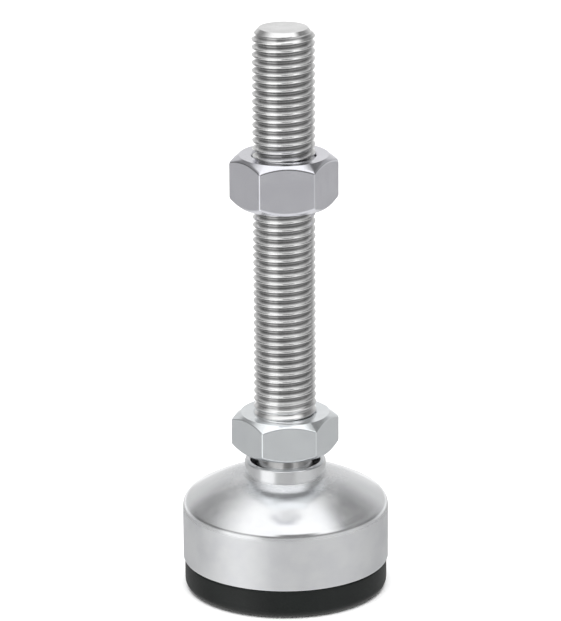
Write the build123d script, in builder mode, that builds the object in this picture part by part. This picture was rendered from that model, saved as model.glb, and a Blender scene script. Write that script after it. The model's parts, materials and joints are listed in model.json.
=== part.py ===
from build123d import *
import os
from math import acos, asin, degrees, radians, sqrt, tan

# Furniture leveling foot: a threaded spindle whose ball end swivels in a heavy round base.
# Millimetres, +Z up. The origin is on the floor, on the axis of the base.

# --- Driving dimensions -------------------------------------------------------

# Rubber pad
pad_radius = 26.0
pad_height = 7.6
pad_edge_round = 2.0
pad_boss_height = 2.0
pad_boss_gap = 0.1
tread_radii = (9.0, 14.0, 19.0)
tread_width = 1.4
tread_depth = 0.8

# Base body, a turned bell
base_radius = 26.4
dome_radius = 48.0
dome_top_height = 30.2
collar_radius = 10.4
collar_top_height = 34.0
neck_bore_radius = 8.8
base_wall = 2.8
shoulder_round = 3.7
small_round = 0.4
mouth_chamfer = 0.5

# Ball joint: ball end, two liners, thrust disc and retaining ring
ball_radius = 9.5
ball_centre_height = 20.4
ball_flat_drop = 4.8
slide_gap = 0.1
liner_thickness = 1.5
upper_liner_span = (0.6, 5.2)
lower_liner_span = (-5.0, -0.6)
seat_bore_radius = 15.0
seat_top_drop = 1.0
seat_floor_drop = 6.3
disc_thickness_under_floor = 2.0
disc_side_gap = 0.05
ring_thickness = 1.2
ring_slot_height = 1.25
ring_slot_depth = 1.2
ring_width = 2.2
ring_mouth_angle = 44
ring_lug_radius = 1.9
ring_hole_radius = 0.75

# Spindle, metric thread M16 x 2 drawn as plain cylinders
thread_radius = 8.0
thread_least_radius = 7.84
neck_radius = 7.2
waist_bottom_height = 33.0
waist_height = 35.2
waist_length = 0.8
waist_radius = 6.6
thread_start_height = 37.3
spindle_top_height = 147.4
end_chamfer_height = 1.9
end_chamfer_depth = 1.75

# Hexagon nuts: label, underside height, thickness, turn about Z in degrees, bore radius
across_flats = 24.0
nut_face_radius = 11.3
nut_chamfer_angle = 35
nut_corner_round = 0.6
nut_bore_chamfer = 0.3
lower_nut_bottom = 36.7
lower_nut_thickness = 10.0
lower_nut_turn = 5
lower_nut_bore_radius = 7.86
lock_nut_bottom = 101.8
lock_nut_thickness = 13.0
lock_nut_turn = 3.7
lock_nut_bore_radius = 8.08

# --- Sizes that follow --------------------------------------------------------

liner_inner_radius = ball_radius + slide_gap
liner_outer_radius = liner_inner_radius + liner_thickness
socket_radius = liner_outer_radius + slide_gap
dome_centre_height = dome_top_height - sqrt(dome_radius**2 - collar_radius**2)
recess_radius = base_radius - base_wall
recess_top_height = pad_height + pad_boss_height
disc_top_height = ball_centre_height - seat_top_drop
disc_floor_height = ball_centre_height - seat_floor_drop
disc_bottom_height = disc_floor_height - disc_thickness_under_floor
lock_nut_top = lock_nut_bottom + lock_nut_thickness
spindle_top_radius = thread_radius - end_chamfer_depth
nut_turning_radius = across_flats / sqrt(3)
nut_cone_rise = (nut_turning_radius - nut_face_radius) * tan(radians(nut_chamfer_angle))


def ring_edges(part, radius):
    """The circular edges of one radius, lowest first."""
    circles = part.edges().filter_by(GeomType.CIRCLE)
    return circles.filter_by(lambda edge: abs(edge.radius - radius) < 0.001).sort_by(Axis.Z)


os.makedirs("parts", exist_ok=True)

# --- Rubber pad: disc on the floor, boss pressed into the base, ring-shaped tread ---

with BuildPart() as rubber_pad:
    with BuildSketch(Plane.XY):
        Circle(pad_radius)
    extrude(amount=pad_height)
    fillet(ring_edges(rubber_pad, pad_radius)[0], radius=pad_edge_round)
    with BuildSketch(Plane.XY.offset(pad_height)):
        Circle(recess_radius - pad_boss_gap)
    extrude(amount=pad_boss_height)
    for tread_radius in tread_radii:
        with BuildSketch(Plane.XY):
            Circle(tread_radius + tread_width / 2)
            Circle(tread_radius - tread_width / 2, mode=Mode.SUBTRACT)
        extrude(amount=tread_depth, mode=Mode.SUBTRACT)
rubber_pad.part.label = "rubber_pad"
export_step(rubber_pad.part, "parts/rubber_pad.step")

# --- Base body: cylinder, dome and collar, hollowed from below for the ball joint ---

wall_angle = degrees(acos(base_radius / dome_radius))
collar_angle = degrees(acos(collar_radius / dome_radius))

with BuildPart() as base_body:
    with BuildSketch(Plane.XZ):
        with BuildLine():
            dome_curve = CenterArc(
                (0, dome_centre_height),
                dome_radius,
                wall_angle,
                collar_angle - wall_angle,
            )
            Polyline(
                dome_curve @ 1,
                (collar_radius, collar_top_height),
                (0, collar_top_height),
                (0, pad_height),
                (base_radius, pad_height),
                dome_curve @ 0,
            )
        make_face()
    revolve(axis=Axis.Z)
    fillet(ring_edges(base_body, base_radius)[-1], radius=shoulder_round)
    fillet(ring_edges(base_body, base_radius)[0], radius=small_round)
    fillet(ring_edges(base_body, collar_radius), radius=small_round)
    # spherical socket over the upper liner
    with Locations((0, 0, ball_centre_height)):
        Sphere(socket_radius, mode=Mode.SUBTRACT)
    # bore for the spindle's neck
    Hole(neck_bore_radius)
    chamfer(ring_edges(base_body, neck_bore_radius)[-1], length=mouth_chamfer)
    # straight way in for the ball and its liners, below the ball's centre
    with BuildSketch(Plane.XY.offset(ball_centre_height)):
        Circle(socket_radius)
    extrude(amount=pad_height - ball_centre_height, mode=Mode.SUBTRACT)
    # seat bore for the thrust disc
    with BuildSketch(Plane.XY.offset(disc_top_height)):
        Circle(seat_bore_radius)
    extrude(amount=pad_height - disc_top_height, mode=Mode.SUBTRACT)
    # slot for the retaining ring
    with BuildSketch(Plane.XY.offset(disc_bottom_height)):
        Circle(seat_bore_radius + ring_slot_depth)
    extrude(amount=-ring_slot_height, mode=Mode.SUBTRACT)
    # recess for the rubber pad's boss
    with BuildSketch(Plane.XY.offset(pad_height)):
        Circle(recess_radius)
    extrude(amount=pad_boss_height, mode=Mode.SUBTRACT)
base_body.part.label = "base_body"
export_step(base_body.part, "parts/base_body.step")

# --- Ball liners: two rings cut from one spherical shell, above and below the ball's middle ---

for liner_name, liner_span in (("upper_liner", upper_liner_span), ("lower_liner", lower_liner_span)):
    with BuildPart() as liner:
        with BuildSketch(Plane.XZ):
            with Locations((0, ball_centre_height)):
                Circle(liner_outer_radius)
                Circle(liner_inner_radius, mode=Mode.SUBTRACT)
            with Locations((0, ball_centre_height + liner_span[0])):
                Rectangle(
                    liner_outer_radius,
                    liner_span[1] - liner_span[0],
                    align=(Align.MIN, Align.MIN),
                    mode=Mode.INTERSECT,
                )
        revolve(axis=Axis.Z)
    liner.part.label = liner_name
    export_step(liner.part, f"parts/{liner_name}.step")

# --- Thrust disc: spherical seat under the lower liner, flat floor clear of the ball ---

seat_rim_angle = degrees(asin(seat_top_drop / socket_radius))
seat_floor_angle = degrees(asin(seat_floor_drop / socket_radius))
seat_floor_radius = sqrt(socket_radius**2 - seat_floor_drop**2)
disc_radius = seat_bore_radius - disc_side_gap

with BuildPart() as thrust_disc:
    with BuildSketch(Plane.XZ):
        with BuildLine():
            seat_curve = CenterArc(
                (0, ball_centre_height),
                socket_radius,
                -seat_rim_angle,
                seat_rim_angle - seat_floor_angle,
            )
            Polyline(
                seat_curve @ 1,
                (0, disc_floor_height),
                (0, disc_bottom_height),
                (disc_radius, disc_bottom_height),
                (disc_radius, disc_top_height),
                seat_curve @ 0,
            )
        make_face()
    revolve(axis=Axis.Z)
    chamfer(ring_edges(thrust_disc, disc_radius), length=small_round)
thrust_disc.part.label = "thrust_disc"
export_step(thrust_disc.part, "parts/thrust_disc.step")

# --- Retaining ring: open spring ring with a pierced lug at each end ---

ring_outer_radius = seat_bore_radius + ring_slot_depth - slide_gap
ring_inner_radius = ring_outer_radius - ring_width
lug_centre_radius = ring_inner_radius
ring_mouth_start = 90 - ring_mouth_angle / 2
ring_mouth_end = 90 + ring_mouth_angle / 2

with BuildPart() as retaining_ring:
    with BuildSketch(Plane.XY.offset(disc_bottom_height)):
        Circle(ring_outer_radius)
        Circle(ring_inner_radius, mode=Mode.SUBTRACT)
        with BuildLine():
            mouth_first = PolarLine((0, 0), base_radius, ring_mouth_start)
            mouth_last = PolarLine((0, 0), base_radius, ring_mouth_end)
            Line(mouth_first @ 1, mouth_last @ 1)
        make_face(mode=Mode.SUBTRACT)
        with PolarLocations(lug_centre_radius, 2, ring_mouth_start, ring_mouth_angle, endpoint=True):
            Circle(ring_lug_radius)
        with PolarLocations(lug_centre_radius, 2, ring_mouth_start, ring_mouth_angle, endpoint=True):
            Circle(ring_hole_radius, mode=Mode.SUBTRACT)
    extrude(amount=-ring_thickness)
retaining_ring.part.label = "retaining_ring"
export_step(retaining_ring.part, "parts/retaining_ring.step")

# --- Threaded spindle: ball end, neck with a waist under the thread, threaded rod, chamfered tip ---

with BuildPart() as threaded_spindle:
    with BuildSketch(Plane.XZ):
        with BuildLine():
            Polyline(
                (0, ball_centre_height),
                (neck_radius, ball_centre_height),
                (neck_radius, waist_bottom_height),
                (waist_radius, waist_height),
                (waist_radius, waist_height + waist_length),
                (thread_least_radius, thread_start_height),
                (thread_least_radius, lock_nut_top),
                (thread_radius, lock_nut_top),
                (thread_radius, spindle_top_height - end_chamfer_height),
                (spindle_top_radius, spindle_top_height),
                (0, spindle_top_height),
                close=True,
            )
        make_face()
    revolve(axis=Axis.Z)
    with Locations((0, 0, ball_centre_height)):
        Sphere(ball_radius)
    split(bisect_by=Plane.XY.offset(ball_centre_height - ball_flat_drop), keep=Keep.TOP)
threaded_spindle.part.label = "threaded_spindle"
export_step(threaded_spindle.part, "parts/threaded_spindle.step")

# --- Hexagon nuts: both ends turned down to a chamfer, bore plain with chamfered mouths ---

nuts = (
    ("lower_hex_nut", lower_nut_bottom, lower_nut_thickness, lower_nut_turn, lower_nut_bore_radius),
    ("lock_nut", lock_nut_bottom, lock_nut_thickness, lock_nut_turn, lock_nut_bore_radius),
)
for nut_name, nut_bottom, nut_thickness, nut_turn, bore_radius in nuts:
    with BuildPart() as nut:
        with BuildSketch(Plane.XY.offset(nut_bottom)):
            RegularPolygon(across_flats / 2, 6, major_radius=False, rotation=nut_turn)
        extrude(amount=nut_thickness)
        fillet(nut.edges().filter_by(Axis.Z), radius=nut_corner_round)
        # both ends turned down by a cone that starts at the end face's circle
        with BuildSketch(Plane.XZ):
            with BuildLine():
                Polyline(
                    (0, nut_bottom),
                    (nut_face_radius, nut_bottom),
                    (nut_turning_radius, nut_bottom + nut_cone_rise),
                    (nut_turning_radius, nut_bottom + nut_thickness - nut_cone_rise),
                    (nut_face_radius, nut_bottom + nut_thickness),
                    (0, nut_bottom + nut_thickness),
                    close=True,
                )
            make_face()
        revolve(axis=Axis.Z, mode=Mode.INTERSECT)
        with Locations((0, 0, nut_bottom)):
            Hole(bore_radius)
        chamfer(ring_edges(nut, bore_radius), length=nut_bore_chamfer)
    nut.part.label = nut_name
    export_step(nut.part, f"parts/{nut_name}.step")
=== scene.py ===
import json
from math import acos, asin, atan2, cos, pi, radians, sin, sqrt, tan

import bmesh
import bpy
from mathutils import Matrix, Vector


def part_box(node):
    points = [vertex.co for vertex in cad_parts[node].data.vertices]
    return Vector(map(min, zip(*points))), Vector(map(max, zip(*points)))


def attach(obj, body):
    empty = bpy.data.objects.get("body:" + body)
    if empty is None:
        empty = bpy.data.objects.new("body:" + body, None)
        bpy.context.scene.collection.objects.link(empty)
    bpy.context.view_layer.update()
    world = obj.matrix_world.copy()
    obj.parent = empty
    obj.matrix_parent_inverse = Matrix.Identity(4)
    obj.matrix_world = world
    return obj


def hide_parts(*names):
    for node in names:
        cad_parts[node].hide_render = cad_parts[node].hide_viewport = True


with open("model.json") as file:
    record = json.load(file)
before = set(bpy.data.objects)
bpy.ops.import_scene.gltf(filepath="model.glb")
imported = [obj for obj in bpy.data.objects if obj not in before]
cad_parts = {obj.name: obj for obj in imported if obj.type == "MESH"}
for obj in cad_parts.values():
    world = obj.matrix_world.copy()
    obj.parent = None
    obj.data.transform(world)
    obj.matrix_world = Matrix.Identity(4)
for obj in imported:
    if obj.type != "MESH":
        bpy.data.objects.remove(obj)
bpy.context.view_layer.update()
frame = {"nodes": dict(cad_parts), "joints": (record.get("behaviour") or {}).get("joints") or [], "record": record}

# Looks of the furniture leveling foot. Lengths are in millimetres, as on a drawing of
# the foot, and the mesh maker turns them into metres.

MM = 0.001

# how far the camera looks down
VIEW_ELEVATION = radians(17.7)


def heights(node):
    """Lowest and highest point of a CAD node."""
    low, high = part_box(node)
    return low[2] / MM, high[2] / MM


def radius_of(node):
    """Largest radius of a round CAD node."""
    low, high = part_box(node)
    return (high[0] - low[0]) / 2 / MM


# --- Sizes -----------------------------------------------------------------------

FLOOR, PAD_BOSS_TOP = heights("rubber_pad")
BASE_LOW, COLLAR_TOP = heights("base_body")
DISC_LOW, DISC_TOP = heights("thrust_disc")
BALL_LOW, SPINDLE_TOP = heights("threaded_spindle")
LOWER_NUT_LOW, LOWER_NUT_TOP = heights("lower_hex_nut")
PAD_RADIUS = radius_of("rubber_pad")
BASE_RADIUS = radius_of("base_body")
JOINTS = {joint["name"]: joint for joint in frame["joints"]}
BALL_CENTRE = JOINTS["tilt_x"]["pos_m"][2] / MM

DOME_RADIUS = 48.0
DOME_TOP = 30.2
SHOULDER_ROUND = 3.7
COLLAR_RADIUS = 10.4
NECK_BORE = 8.8
SOCKET_RADIUS = 11.2
SEAT_BORE = 15.0
SLOT_BORE = 16.2
SLOT_HEIGHT = 1.25
RECESS_RADIUS = 23.6
BOSS_RADIUS = 23.5
TREAD_RADII = (9.0, 14.0, 19.0)
TREAD_WIDTH = 1.4
TREAD_DEPTH = 0.8

BALL_RADIUS = 9.5
NECK_RADIUS = 7.2
WAIST_BOTTOM = 33.0
WAIST_HEIGHT = 35.2
WAIST_LENGTH = 0.8
WAIST_RADIUS = 6.6
THREAD_START = 37.3
THREAD_PITCH = 2.0
THREAD_CREST = 7.94
THREAD_ROOT = 6.77
THREAD_OVERLAP = 1.2
SHANK_STEP = 0.1
RUNOUT_ROOT = 7.45
RUNOUT_LENGTH = 6.0
END_CHAMFER_DEPTH = 1.75
END_CHAMFER_HEIGHT = 1.9

NUT_FLATS = 24.0
NUT_FACE_RADIUS = 11.3
NUT_CORNER = 0.65
NUT_CHAMFER = radians(35)
NUT_BORE_CHAMFER = 0.3
NUT_BORE_EDGE = 0.1
NUT_FACE_EDGE = 0.15

# heights of the dome's centre and of the wall's top edge, and the radius at the middle of
# the shoulder's round
DOME_CENTRE = DOME_TOP - sqrt(DOME_RADIUS**2 - COLLAR_RADIUS**2)
ROUND_CENTRE = BASE_RADIUS - SHOULDER_ROUND
WALL_TOP = DOME_CENTRE + sqrt((DOME_RADIUS - SHOULDER_ROUND) ** 2 - ROUND_CENTRE**2)

# how far out the centre of a nut's rounded corner lies, and half the angle that the
# corner takes up, seen from the axis
CORNER_CENTRE = (NUT_FLATS / 2 - NUT_CORNER) / cos(pi / 6)
CORNER_SPAN = atan2(NUT_CORNER * sin(pi / 6), CORNER_CENTRE + NUT_CORNER * cos(pi / 6))

# fineness of the meshes
ARC_STEPS = 6
SPHERE_STEPS = 24
BALL_STEPS = 40
DOME_STEPS = 24
SHOULDER_STEPS = 12
CORNER_STEPS = 4
FLAT_STEPS = 24
ROUND_SEGMENTS = 192
THREAD_SEGMENTS = 120
THREAD_ROWS = 12
SHARP_ANGLE = radians(32)
WELD_METRES = 2e-7


# --- Outlines --------------------------------------------------------------------


def rounded(corners):
    """Points of a closed outline given as corners of (r, z, fillet radius), with their arcs."""
    outline = []
    for i, (r, z, fillet) in enumerate(corners):
        here = Vector((r, z))
        if not fillet:
            outline.append((r, z))
            continue
        back = (Vector(corners[i - 1][:2]) - here).normalized()
        ahead = (Vector(corners[(i + 1) % len(corners)][:2]) - here).normalized()
        half = back.angle(ahead) / 2
        centre = here + (back + ahead).normalized() * fillet / sin(half)
        spoke = here + back * fillet / tan(half) - centre
        swing = pi - 2 * half
        if back.cross(ahead) > 0:
            swing = -swing
        for k in range(ARC_STEPS + 1):
            a = swing * k / ARC_STEPS
            x = spoke.x * cos(a) - spoke.y * sin(a)
            y = spoke.x * sin(a) + spoke.y * cos(a)
            outline.append((centre.x + x, centre.y + y))
    return outline


def arc(r, z, radius, first, last, steps):
    """Outline of an arc about (r, z), between two angles measured up from the horizontal."""
    angles = [first + (last - first) * k / steps for k in range(steps + 1)]
    return [(r + radius * cos(a), z + radius * sin(a)) for a in angles]


def sphere_arc(radius, rise_from, rise_to, steps=SPHERE_STEPS):
    """Outline of a sphere about the ball's centre, between two heights above that centre."""
    first = asin(rise_from / radius)
    last = asin(rise_to / radius)
    return arc(0, BALL_CENTRE, radius, first, last, steps)


# --- Pieces ----------------------------------------------------------------------

RECORD = frame["record"]
NODES = frame["nodes"]
BODY_OF = {node: body for body, nodes in RECORD["behaviour"]["bodies"].items() for node in nodes}


def make_piece(name, node, columns, material, ring=False):
    """A piece that stands for a CAD node: a skin over columns of points, all of one length.

    Points that coincide are welded, so a column may meet the axis or repeat its neighbour.
    With ring, each column is a closed outline.
    """
    length = len(columns[0])
    verts = [(x * MM, y * MM, z * MM) for column in columns for x, y, z in column]
    faces = []
    for i in range(len(columns) - 1):
        a = i * length
        b = a + length
        for k in range(length if ring else length - 1):
            m = (k + 1) % length
            faces.append((a + k, b + k, b + m, a + m))
    mesh = bpy.data.meshes.new(name)
    mesh.from_pydata(verts, [], faces)
    work = bmesh.new()
    work.from_mesh(mesh)
    bmesh.ops.remove_doubles(work, verts=work.verts, dist=WELD_METRES)
    bmesh.ops.recalc_face_normals(work, faces=work.faces)
    work.to_mesh(mesh)
    work.free()
    mesh.shade_smooth()
    mesh.set_sharp_from_angle(angle=SHARP_ANGLE)
    mesh.materials.append(material)
    piece = bpy.data.objects.new(name, mesh)
    bpy.context.collection.objects.link(piece)
    weighted = piece.modifiers.new("weighted_normals", "WEIGHTED_NORMAL")
    weighted.keep_sharp = True
    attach(piece, BODY_OF[node])
    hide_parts(node)
    return piece


def lathe_columns(outline, segments=ROUND_SEGMENTS):
    """An outline of (r, z) points swept once round the axis."""
    columns = []
    for i in range(segments + 1):
        a = 2 * pi * i / segments
        columns.append([(r * cos(a), r * sin(a), z) for r, z in outline])
    return columns


def make_base(material):
    """The turned bell: outside, bore, ball socket, seat bore, ring slot and pad recess."""
    socket_rise = sqrt(SOCKET_RADIUS**2 - NECK_BORE**2)
    collar_angle = acos(COLLAR_RADIUS / DOME_RADIUS)
    shoulder_angle = acos(ROUND_CENTRE / (DOME_RADIUS - SHOULDER_ROUND))
    dome = arc(0, DOME_CENTRE, DOME_RADIUS, collar_angle, shoulder_angle, DOME_STEPS)
    shoulder = arc(ROUND_CENTRE, WALL_TOP, SHOULDER_ROUND, shoulder_angle, 0, SHOULDER_STEPS)
    outline = rounded(
        [
            (NECK_BORE, COLLAR_TOP, 0.5),
            (COLLAR_RADIUS, COLLAR_TOP, 0.4),
            (COLLAR_RADIUS, DOME_TOP, 0.35),
            *[(r, z, 0) for r, z in dome[1:-1] + shoulder],
            (BASE_RADIUS, BASE_LOW, 0.4),
            (RECESS_RADIUS, BASE_LOW, 0.2),
            (RECESS_RADIUS, PAD_BOSS_TOP, 0.2),
            (SEAT_BORE, PAD_BOSS_TOP, 0.2),
            (SEAT_BORE, DISC_LOW - SLOT_HEIGHT, 0),
            (SLOT_BORE, DISC_LOW - SLOT_HEIGHT, 0),
            (SLOT_BORE, DISC_LOW, 0),
            (SEAT_BORE, DISC_LOW, 0),
            (SEAT_BORE, DISC_TOP, 0),
            (SOCKET_RADIUS, DISC_TOP, 0),
        ]
    )
    outline += sphere_arc(SOCKET_RADIUS, 0, socket_rise)
    return make_piece("base_bell", "base_body", lathe_columns(outline), material, ring=True)


def make_pad(material):
    """The rubber pad: rounded edges, boss in the base, and ring-shaped grooves underneath."""
    corners = [
        (0, PAD_BOSS_TOP, 0),
        (BOSS_RADIUS, PAD_BOSS_TOP, 0.3),
        (BOSS_RADIUS, BASE_LOW, 0),
        (PAD_RADIUS, BASE_LOW, 0.8),
        (PAD_RADIUS, FLOOR, 2.0),
    ]
    for tread in reversed(TREAD_RADII):
        outer = tread + TREAD_WIDTH / 2
        inner = tread - TREAD_WIDTH / 2
        corners += [(outer, FLOOR, 0.15), (outer, FLOOR + TREAD_DEPTH, 0.3)]
        corners += [(inner, FLOOR + TREAD_DEPTH, 0.3), (inner, FLOOR, 0.15)]
    corners.append((0, FLOOR, 0))
    return make_piece("foot_pad", "rubber_pad", lathe_columns(rounded(corners)), material)


def thread_radius(lead, height):
    """Radius of the thread's surface; lead is the distance along the axis from a crest."""
    crest_half = THREAD_PITCH / 16
    flank = (THREAD_CREST - THREAD_ROOT) * tan(radians(30))
    runout = max(0.0, 1 - (height - LOWER_NUT_TOP) / RUNOUT_LENGTH)
    root = THREAD_ROOT + (RUNOUT_ROOT - THREAD_ROOT) * min(1.0, runout)
    way_down = min(1.0, max(0.0, (lead - crest_half) / flank))
    # straight flanks, a little eased at crest and root
    soft = way_down * way_down * (3 - 2 * way_down)
    depth = (0.6 * way_down + 0.4 * soft) * (THREAD_CREST - root)
    end_cone = THREAD_CREST + (SPINDLE_TOP - height) * END_CHAMFER_DEPTH / END_CHAMFER_HEIGHT
    return min(THREAD_CREST - depth, end_cone - END_CHAMFER_DEPTH)


def make_spindle(material):
    """Ball end, neck and right-hand thread. The thread's rows climb one pitch in each turn."""
    low = LOWER_NUT_TOP - THREAD_OVERLAP
    shank = THREAD_CREST - SHANK_STEP
    ball_flat_rise = BALL_LOW - BALL_CENTRE
    neck_rise = sqrt(BALL_RADIUS**2 - NECK_RADIUS**2)
    foot = [(0, BALL_LOW)]
    foot += sphere_arc(BALL_RADIUS, ball_flat_rise, neck_rise, BALL_STEPS)
    foot += rounded(
        [
            (NECK_RADIUS, BALL_CENTRE + neck_rise, 0),
            (NECK_RADIUS, WAIST_BOTTOM, 0.8),
            (WAIST_RADIUS, WAIST_HEIGHT, 0.5),
            (WAIST_RADIUS, WAIST_HEIGHT + WAIST_LENGTH, 0.3),
            (shank, THREAD_START, 0.2),
            (shank, low, 0),
        ]
    )
    turns = (SPINDLE_TOP - low) / THREAD_PITCH
    rows = int((turns + 2) * THREAD_ROWS)
    columns = []
    for i in range(THREAD_SEGMENTS + 1):
        turn = i / THREAD_SEGMENTS
        c = cos(2 * pi * turn)
        s = sin(2 * pi * turn)
        column = [(r * c, r * s, z) for r, z in foot]
        for j in range(rows):
            rise = (j / THREAD_ROWS + turn - 1) * THREAD_PITCH
            lead = abs((j / THREAD_ROWS + 0.5) % 1 - 0.5) * THREAD_PITCH
            z = min(max(low + rise, low), SPINDLE_TOP)
            if z != low + rise:
                # past either end, the row lies on the end's circle at the thread's own phase
                lead = abs(((z - low) / THREAD_PITCH - turn + 0.5) % 1 - 0.5) * THREAD_PITCH
            r = thread_radius(lead, z)
            column.append((r * c, r * s, z))
        column.append((0, 0, SPINDLE_TOP))
        columns.append(column)
    return make_piece("threaded_stud", "threaded_spindle", columns, material)


def hexagon_radius(from_corner):
    """Distance from the axis to the nut's side, at an angle from its nearest corner."""
    if from_corner < CORNER_SPAN:
        across = CORNER_CENTRE * sin(from_corner)
        return CORNER_CENTRE * cos(from_corner) + sqrt(NUT_CORNER**2 - across**2)
    return NUT_FLATS / 2 / cos(pi / 6 - from_corner)


def make_nut(name, node, turn, bore, edge_round, material):
    """A hexagon nut: rounded corners, both ends turned down to a cone, chamfered bore."""
    low, high = heights(node)
    flat_span = pi / 3 - 2 * CORNER_SPAN
    from_corner = [CORNER_SPAN * (k / CORNER_STEPS - 1) for k in range(2 * CORNER_STEPS)]
    from_corner += [CORNER_SPAN + flat_span * k / FLAT_STEPS for k in range(FLAT_STEPS)]
    angles = [radians(turn) + sector * pi / 3 + a for sector in range(6) for a in from_corner]
    reaches = [hexagon_radius(min(abs(a), pi / 3 - a)) for a in from_corner] * 6
    angles.append(angles[0] + 2 * pi)
    reaches.append(reaches[0])
    columns = []
    for a, reach in zip(angles, reaches):
        drop = (reach - NUT_FACE_RADIUS) * tan(NUT_CHAMFER)
        corners = [
            (bore, low + NUT_BORE_CHAMFER, NUT_BORE_EDGE),
            (bore + NUT_BORE_CHAMFER, low, NUT_BORE_EDGE),
            (NUT_FACE_RADIUS, low, NUT_FACE_EDGE),
            (reach, low + drop, edge_round),
            (reach, high - drop, edge_round),
            (NUT_FACE_RADIUS, high, NUT_FACE_EDGE),
            (bore + NUT_BORE_CHAMFER, high, NUT_BORE_EDGE),
            (bore, high - NUT_BORE_CHAMFER, NUT_BORE_EDGE),
        ]
        columns.append([(r * cos(a), r * sin(a), z) for r, z in rounded(corners)])
    return make_piece(name, node, columns, material, ring=True)


# --- Materials -------------------------------------------------------------------


class Shader:
    """A material's node tree, with short calls for the nodes used here."""

    def __init__(self, name):
        self.material = bpy.data.materials.new(name)
        self.material.use_nodes = True
        self.nodes = self.material.node_tree.nodes
        self.links = self.material.node_tree.links
        self.bsdf = self.nodes["Principled BSDF"]
        self.place = self.nodes.new("ShaderNodeTexCoord").outputs["Object"]
        split = self.nodes.new("ShaderNodeSeparateXYZ")
        self.links.new(self.place, split.inputs[0])
        x, y, self.height = split.outputs
        square = self.maths("ADD", self.maths("MULTIPLY", x, x), self.maths("MULTIPLY", y, y))
        self.radius = self.maths("SQRT", square)

    def put(self, value, socket):
        """A socket's value: another node's output is linked, anything else is set."""
        if isinstance(value, bpy.types.NodeSocket):
            self.links.new(value, socket)
        else:
            socket.default_value = value

    def maths(self, operation, first, second=0.0):
        node = self.nodes.new("ShaderNodeMath")
        node.operation = operation
        self.put(first, node.inputs[0])
        self.put(second, node.inputs[1])
        return node.outputs[0]

    def noise(self, scale, detail=3.0):
        node = self.nodes.new("ShaderNodeTexNoise")
        self.put(self.place, node.inputs["Vector"])
        node.inputs["Scale"].default_value = scale
        node.inputs["Detail"].default_value = detail
        return node.outputs["Fac"]

    def rings(self, scale, detail=4.0):
        """Noise that changes only along the piece's outline, as a lathe tool leaves it."""
        node = self.nodes.new("ShaderNodeTexNoise")
        node.noise_dimensions = "1D"
        self.put(self.maths("SUBTRACT", self.height, self.radius), node.inputs["W"])
        node.inputs["Scale"].default_value = scale
        node.inputs["Detail"].default_value = detail
        return node.outputs["Fac"]

    def spread(self, value, low, high, start=0.3, end=0.7):
        """A value that runs from start to end, stretched to run from low to high."""
        node = self.nodes.new("ShaderNodeMapRange")
        node.interpolation_type = "SMOOTHSTEP"
        self.put(value, node.inputs["Value"])
        node.inputs["From Min"].default_value = start
        node.inputs["From Max"].default_value = end
        node.inputs["To Min"].default_value = low
        node.inputs["To Max"].default_value = high
        return node.outputs["Result"]

    def rise(self, low, high, start, end):
        """A value that runs from low to high between two heights."""
        return self.spread(self.height, low, high, start * MM, end * MM)

    def tint(self, factor, dark, light):
        """Colours from dark to light, where factor runs from 0 to 1."""
        node = self.nodes.new("ShaderNodeMix")
        node.data_type = "RGBA"
        self.put(factor, node.inputs["Factor"])
        node.inputs[6].default_value = (*dark, 1)
        node.inputs[7].default_value = (*light, 1)
        return node.outputs[2]

    def finish(self, colour, roughness, height, distance):
        """The surface's colour, roughness and relief."""
        self.put(colour, self.bsdf.inputs["Base Color"])
        self.put(roughness, self.bsdf.inputs["Roughness"])
        node = self.nodes.new("ShaderNodeBump")
        self.put(height, node.inputs["Height"])
        node.inputs["Distance"].default_value = distance
        self.links.new(node.outputs[0], self.bsdf.inputs["Normal"])
        return self.material

    def turned(self, strength):
        """Highlights drawn out across turning lines that run round the axis."""
        self.bsdf.inputs["Anisotropic"].default_value = strength
        node = self.nodes.new("ShaderNodeTangent")
        node.direction_type = "RADIAL"
        node.axis = "Z"
        self.links.new(node.outputs[0], self.bsdf.inputs["Tangent"])


def base_metal():
    """Bright plated turned steel, polished on the dome and collar and satin on the cylinder."""
    shader = Shader("base_steel")
    lines = shader.rings(9000)
    cloud = shader.noise(180, 4)
    colour = shader.tint(shader.spread(cloud, 0, 1), (0.82, 0.83, 0.85), (0.88, 0.89, 0.90))
    satin = shader.rise(0.42, 0.16, WALL_TOP - 0.9, WALL_TOP + 0.5)
    throat = shader.rise(0.0, 0.12, WALL_TOP + 4, DOME_TOP)
    collar = shader.rise(0.0, -0.13, DOME_TOP, DOME_TOP + 0.4)
    satin = shader.maths("ADD", satin, shader.maths("ADD", throat, collar))
    wear = shader.spread(shader.maths("ADD", lines, cloud), -0.04, 0.04, 0.7, 1.3)
    shader.bsdf.inputs["Metallic"].default_value = 0.9
    shader.turned(0.6)
    return shader.finish(colour, shader.maths("ADD", satin, wear), lines, 1.2e-6)


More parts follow.
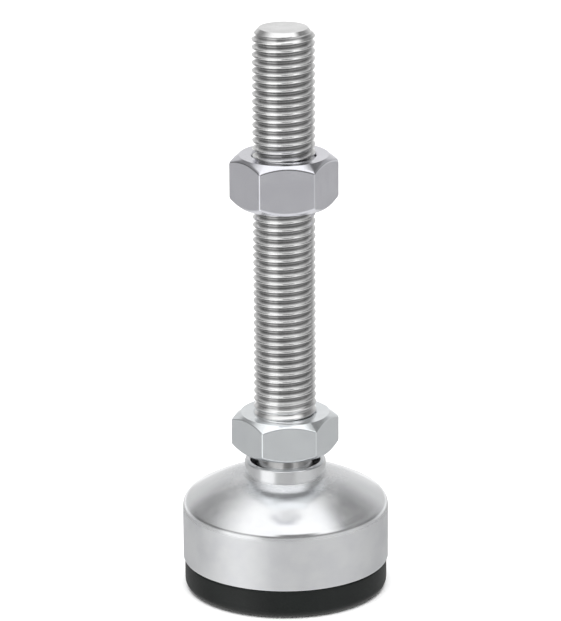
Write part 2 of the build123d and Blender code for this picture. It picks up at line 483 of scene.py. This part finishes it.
def stud_metal():
    """Bright plated rolled thread, darker down in the grooves with painted shade, over a duller neck lifted to the
    lightest tone as painted light.
    """
    shader = Shader("stud_steel")
    lines = shader.rings(4000)
    cloud = shader.noise(180, 4)
    # painted light: the neck below the lower nut takes the lightest tone, to light it in the shaded gap under the
    # nut
    neck = shader.rise(1.0, 0.0, LOWER_NUT_LOW, THREAD_START)
    tip = shader.rise(0.0, 0.9, SPINDLE_TOP - END_CHAMFER_HEIGHT, SPINDLE_TOP - 1)
    # painted shade: the colour darkens from the crest down to the thread root, where shade falls in the grooves
    crest = shader.spread(shader.radius, 0.0, 0.9, THREAD_ROOT * MM, (THREAD_CREST - 0.3) * MM)
    painted_light_and_shade = shader.maths("MAXIMUM", shader.maths("MAXIMUM", neck, tip), crest)
    bright = shader.maths("ADD", painted_light_and_shade, shader.spread(cloud, -0.1, 0.1))
    colour = shader.tint(bright, (0.38, 0.38, 0.38), (0.97, 0.97, 0.97))
    dull = shader.maths("MULTIPLY", neck, 0.04)
    roughness = shader.maths("ADD", shader.spread(lines, 0.13, 0.21), dull)
    shader.bsdf.inputs["Metallic"].default_value = 0.95
    return shader.finish(colour, roughness, lines, 1e-6)


def nut_metal(name, node, dark, light, metallic):
    """Bright plated steel, polished along the top edge and satin on the rest of the flats."""
    shader = Shader(name)
    high = heights(node)[1]
    grain = shader.noise(1400, 3)
    cloud = shader.noise(220, 4)
    colour = shader.tint(shader.spread(cloud, 0, 1), dark, light)
    satin = shader.rise(0.24, 0.12, high - 5.5, high - 2.5)
    roughness = shader.maths("ADD", satin, shader.spread(cloud, -0.02, 0.02))
    shader.bsdf.inputs["Metallic"].default_value = metallic
    return shader.finish(colour, roughness, grain, 4e-6)


def inner_metal():
    """Plain oiled steel of the hidden parts."""
    shader = Shader("inner_steel")
    lines = shader.rings(5000)
    cloud = shader.noise(180, 4)
    colour = shader.tint(shader.spread(cloud, 0, 1), (0.30, 0.30, 0.31), (0.42, 0.42, 0.43))
    shader.bsdf.inputs["Metallic"].default_value = 1.0
    return shader.finish(colour, shader.spread(cloud, 0.3, 0.45), lines, 2e-6)


def moulded_rubber():
    """Matte black rubber with a fine moulded grain and a dusty bloom."""
    shader = Shader("pad_rubber")
    grain = shader.noise(2600, 2)
    bloom = shader.noise(90, 3)
    dark = (0.0022, 0.0038, 0.0034)
    light = (0.0052, 0.0080, 0.0072)
    colour = shader.tint(shader.spread(bloom, 0, 1), dark, light)
    shader.bsdf.inputs["Specular IOR Level"].default_value = 0.42
    return shader.finish(colour, shader.spread(grain, 0.40, 0.50), grain, 4e-5)


def moulded_plastic():
    """Off-white bearing plastic with a soft mottled gloss."""
    shader = Shader("liner_plastic")
    mottle = shader.noise(400, 3)
    colour = shader.tint(shader.spread(mottle, 0, 1), (0.68, 0.67, 0.62), (0.80, 0.79, 0.75))
    return shader.finish(colour, shader.spread(mottle, 0.38, 0.5), mottle, 1e-5)


base_steel = base_metal()
stud_steel = stud_metal()
lower_nut_steel = nut_metal(
    "lower_nut_steel",
    "lower_hex_nut",
    dark=(0.86, 0.89, 0.91),
    light=(0.90, 0.93, 0.95),
    metallic=0.9,
)
upper_nut_steel = nut_metal(
    "upper_nut_steel",
    "lock_nut",
    dark=(0.82, 0.82, 0.87),
    light=(0.86, 0.86, 0.91),
    metallic=0.97,
)
inner_steel = inner_metal()
liner_plastic = moulded_plastic()
pad_rubber = moulded_rubber()

for node_name, node_material in (
    ("thrust_disc", inner_steel),
    ("retaining_ring", inner_steel),
    ("upper_liner", liner_plastic),
    ("lower_liner", liner_plastic),
):
    NODES[node_name].data.materials.clear()
    NODES[node_name].data.materials.append(node_material)

make_base(base_steel)
make_pad(pad_rubber)
make_spindle(stud_steel)
make_nut(
    "lower_nut", "lower_hex_nut", turn=5, bore=7.86, edge_round=0.5, material=lower_nut_steel
)
make_nut(
    "upper_nut", "lock_nut", turn=3.7, bore=8.08, edge_round=1.2, material=upper_nut_steel
)


# --- Studio ----------------------------------------------------------------------


def make_floor():
    """A plain white floor under the foot."""
    mesh = bpy.data.meshes.new("floor")
    reach = 0.9
    gap = 0.05
    level = (FLOOR - gap) * MM
    corners = [(x * reach, y * reach, level) for x, y in ((-1, -1), (1, -1), (1, 1), (-1, 1))]
    mesh.from_pydata(corners, [], [(0, 1, 2, 3)])
    shader = Shader("floor_white")
    soft = shader.noise(2, 2)
    colour = shader.tint(soft, (0.93, 0.93, 0.93), (0.95, 0.95, 0.95))
    mesh.materials.append(shader.finish(colour, 0.9, soft, 1e-5))
    plane = bpy.data.objects.new("floor", mesh)
    plane.visible_glossy = False
    bpy.context.collection.objects.link(plane)


class Surround:
    """Light from far away, built from its direction alone. All angles are in degrees.

    Azimuth 0 is the camera's side, and the right-hand side is positive. Light of one fan
    angle comes from all the directions that an upright turned surface mirrors along one of
    its side lines, and the fan angle is that line's azimuth.
    """

    def __init__(self, name):
        self.world = bpy.data.worlds.new(name)
        self.world.use_nodes = True
        self.nodes = self.world.node_tree.nodes
        self.links = self.world.node_tree.links
        coordinates = self.nodes.new("ShaderNodeTexCoord")
        split = self.nodes.new("ShaderNodeSeparateXYZ")
        self.links.new(coordinates.outputs["Generated"], split.inputs[0])
        x, y, z = split.outputs
        turn = self.maths("ARCTAN2", x, self.maths("MULTIPLY", y, -1.0))
        self.azimuth = self.maths("MULTIPLY", turn, 180 / pi)
        self.behind = self.maths("ABSOLUTE", self.azimuth)
        beyond = self.maths("SUBTRACT", cos(VIEW_ELEVATION), y)
        self.fan = self.maths("MULTIPLY", self.maths("ARCTAN2", x, beyond), 180 / pi)
        self.elevation = self.maths("MULTIPLY", self.maths("ARCSINE", z), 180 / pi)

    def maths(self, operation, *values):
        node = self.nodes.new("ShaderNodeMath")
        node.operation = operation
        for value, socket in zip(values, node.inputs):
            if isinstance(value, bpy.types.NodeSocket):
                self.links.new(value, socket)
            else:
                socket.default_value = value
        return node.outputs[0]

    def step(self, value, start, end):
        """0 before start, 1 after end, smooth between; start may be the larger."""
        node = self.nodes.new("ShaderNodeMapRange")
        node.interpolation_type = "SMOOTHSTEP"
        self.links.new(value, node.inputs["Value"])
        low, high = sorted((start, end))
        node.inputs["From Min"].default_value = low
        node.inputs["From Max"].default_value = high
        node.inputs["To Min"].default_value = 0.0 if start < end else 1.0
        node.inputs["To Max"].default_value = 1.0 if start < end else 0.0
        return node.outputs["Result"]

    def band(self, value, fade_from, full_from, full_to, fade_to):
        """1 between full_from and full_to, and 0 outside fade_from and fade_to."""
        rise = self.step(value, fade_from, full_from)
        fall = self.step(value, fade_to, full_to)
        return self.maths("MULTIPLY", rise, fall)

    def patch(self, strength, azimuth, elevation):
        """A soft-edged patch of light, all the way round where azimuth is None."""
        glow = self.band(self.elevation, *elevation)
        if azimuth:
            glow = self.maths("MULTIPLY", glow, self.band(self.azimuth, *azimuth))
        return self.maths("MULTIPLY", glow, strength)

    def blend(self, first, second, factor):
        """first where factor is 0, second where it is 1."""
        rest = self.maths("MULTIPLY", first, self.maths("SUBTRACT", 1.0, factor))
        return self.maths("ADD", rest, self.maths("MULTIPLY", factor, second))


def make_studio():
    """A pale room: light from below all round, a window low on the left, and an upper light.

    The upper light is strongest in front and behind, and dim at both sides of the front.
    Each patch is (strength, azimuth, elevation), each strip is (strength, fan angle), and
    a range is (fade from, full from, full to, fade to).
    """
    room = Surround("studio")
    light = 0.06
    patches = (
        (0.46, None, (-91, -90, -6, 2)),
        (0.34, None, (-91, -90, -44, -28)),
        (-0.06, (-32, -20, 18, 28), (-91, -90, -6, 2)),
        (-0.08, (88, 102, 150, 165), (-91, -90, -6, 2)),
        (-0.09, (-165, -150, -98, -84), (-91, -90, -6, 2)),
        (0.55, (-82, -66, -36, -24), (-60, -45, 2, 10)),
        (0.10, (26, 36, 75, 90), (-60, -45, 2, 10)),
        (0.07, (-30, -15, 180, 181), (-2, 4, 22, 36)),
        (-1.06, (-14, -4, 28, 40), (8, 14, 22, 32)),
    )
    for strength, azimuth, elevation in patches:
        light = room.maths("ADD", light, room.patch(strength, azimuth, elevation))
    strips = (
        (1.06, (-52, -20, 22, 40)),
        (0.14, (-182, -181, -45, -25)),
        (0.38, (-182, -181, -76, -62)),
        (0.40, (-182, -181, -118, -84)),
        (0.10, (34, 46, 181, 182)),
        (0.12, (52, 60, 181, 182)),
        (0.25, (62, 76, 181, 182)),
        (0.45, (84, 118, 181, 182)),
    )
    upper = 0.0
    for strength, fan in strips:
        strip = room.maths("MULTIPLY", room.band(room.fan, *fan), strength)
        upper = room.maths("ADD", upper, strip)
    # the middle of the back wall, which flat tops mirror, is one even light
    middle = room.step(room.behind, 160, 170)
    wall = room.maths("MULTIPLY", middle, room.step(room.elevation, 38, 28))
    upper = room.blend(upper, 0.62, wall)
    # the upper light reaches lower at the back than at the front
    front = room.step(room.elevation, 6, 16)
    rear = room.step(room.behind, 110, 125)
    back = room.maths("MULTIPLY", rear, room.step(room.elevation, -15, -8))
    upper = room.maths("MULTIPLY", upper, room.maths("MAXIMUM", front, back))
    light = room.maths("MAXIMUM", room.maths("ADD", light, upper), 0.03)
    # the camera itself sees plain white
    ray = room.nodes.new("ShaderNodeLightPath")
    light = room.blend(light, 1.0, ray.outputs["Is Camera Ray"])
    background = room.nodes["Background"]
    room.links.new(light, background.inputs["Strength"])
    background.inputs["Color"].default_value = (1, 1, 1, 1)
    bpy.context.scene.world = room.world


def make_lamp(name, size, power, place, aim):
    """A square softbox."""
    light = bpy.data.lights.new(name, "AREA")
    light.size = size
    light.energy = power
    lamp = bpy.data.objects.new(name, light)
    lamp.location = place
    lamp.rotation_euler = (Vector(aim) - Vector(place)).to_track_quat("-Z", "Y").to_euler()
    bpy.context.collection.objects.link(lamp)
    return lamp


def make_camera():
    """A long lens a metre away, looking down at the middle of the foot and a little rolled."""
    distance = 1.014
    roll = radians(-0.28)
    outward = Vector((0, -cos(VIEW_ELEVATION), sin(VIEW_ELEVATION)))
    middle = Vector((0, 0, (FLOOR + SPINDLE_TOP) / 2 * MM))
    camera = bpy.data.cameras.new("camera")
    camera.lens = 231.9
    camera.sensor_width = 36
    camera.shift_x = -0.0066
    view = bpy.data.objects.new("camera", camera)
    view.location = middle + distance * outward
    view.rotation_mode = "ZXY"
    view.rotation_euler = (pi / 2 - VIEW_ELEVATION, 0, 0)
    view.rotation_euler.rotate_axis("Z", roll)
    bpy.context.collection.objects.link(view)
    bpy.context.scene.camera = view


make_floor()
make_studio()
overhead = make_lamp("overhead", size=1.4, power=22.0, place=(0, -0.1, 1.2), aim=(0, 0, 0))
overhead.visible_glossy = False
make_camera()
bpy.context.scene.view_settings.view_transform = "Standard"
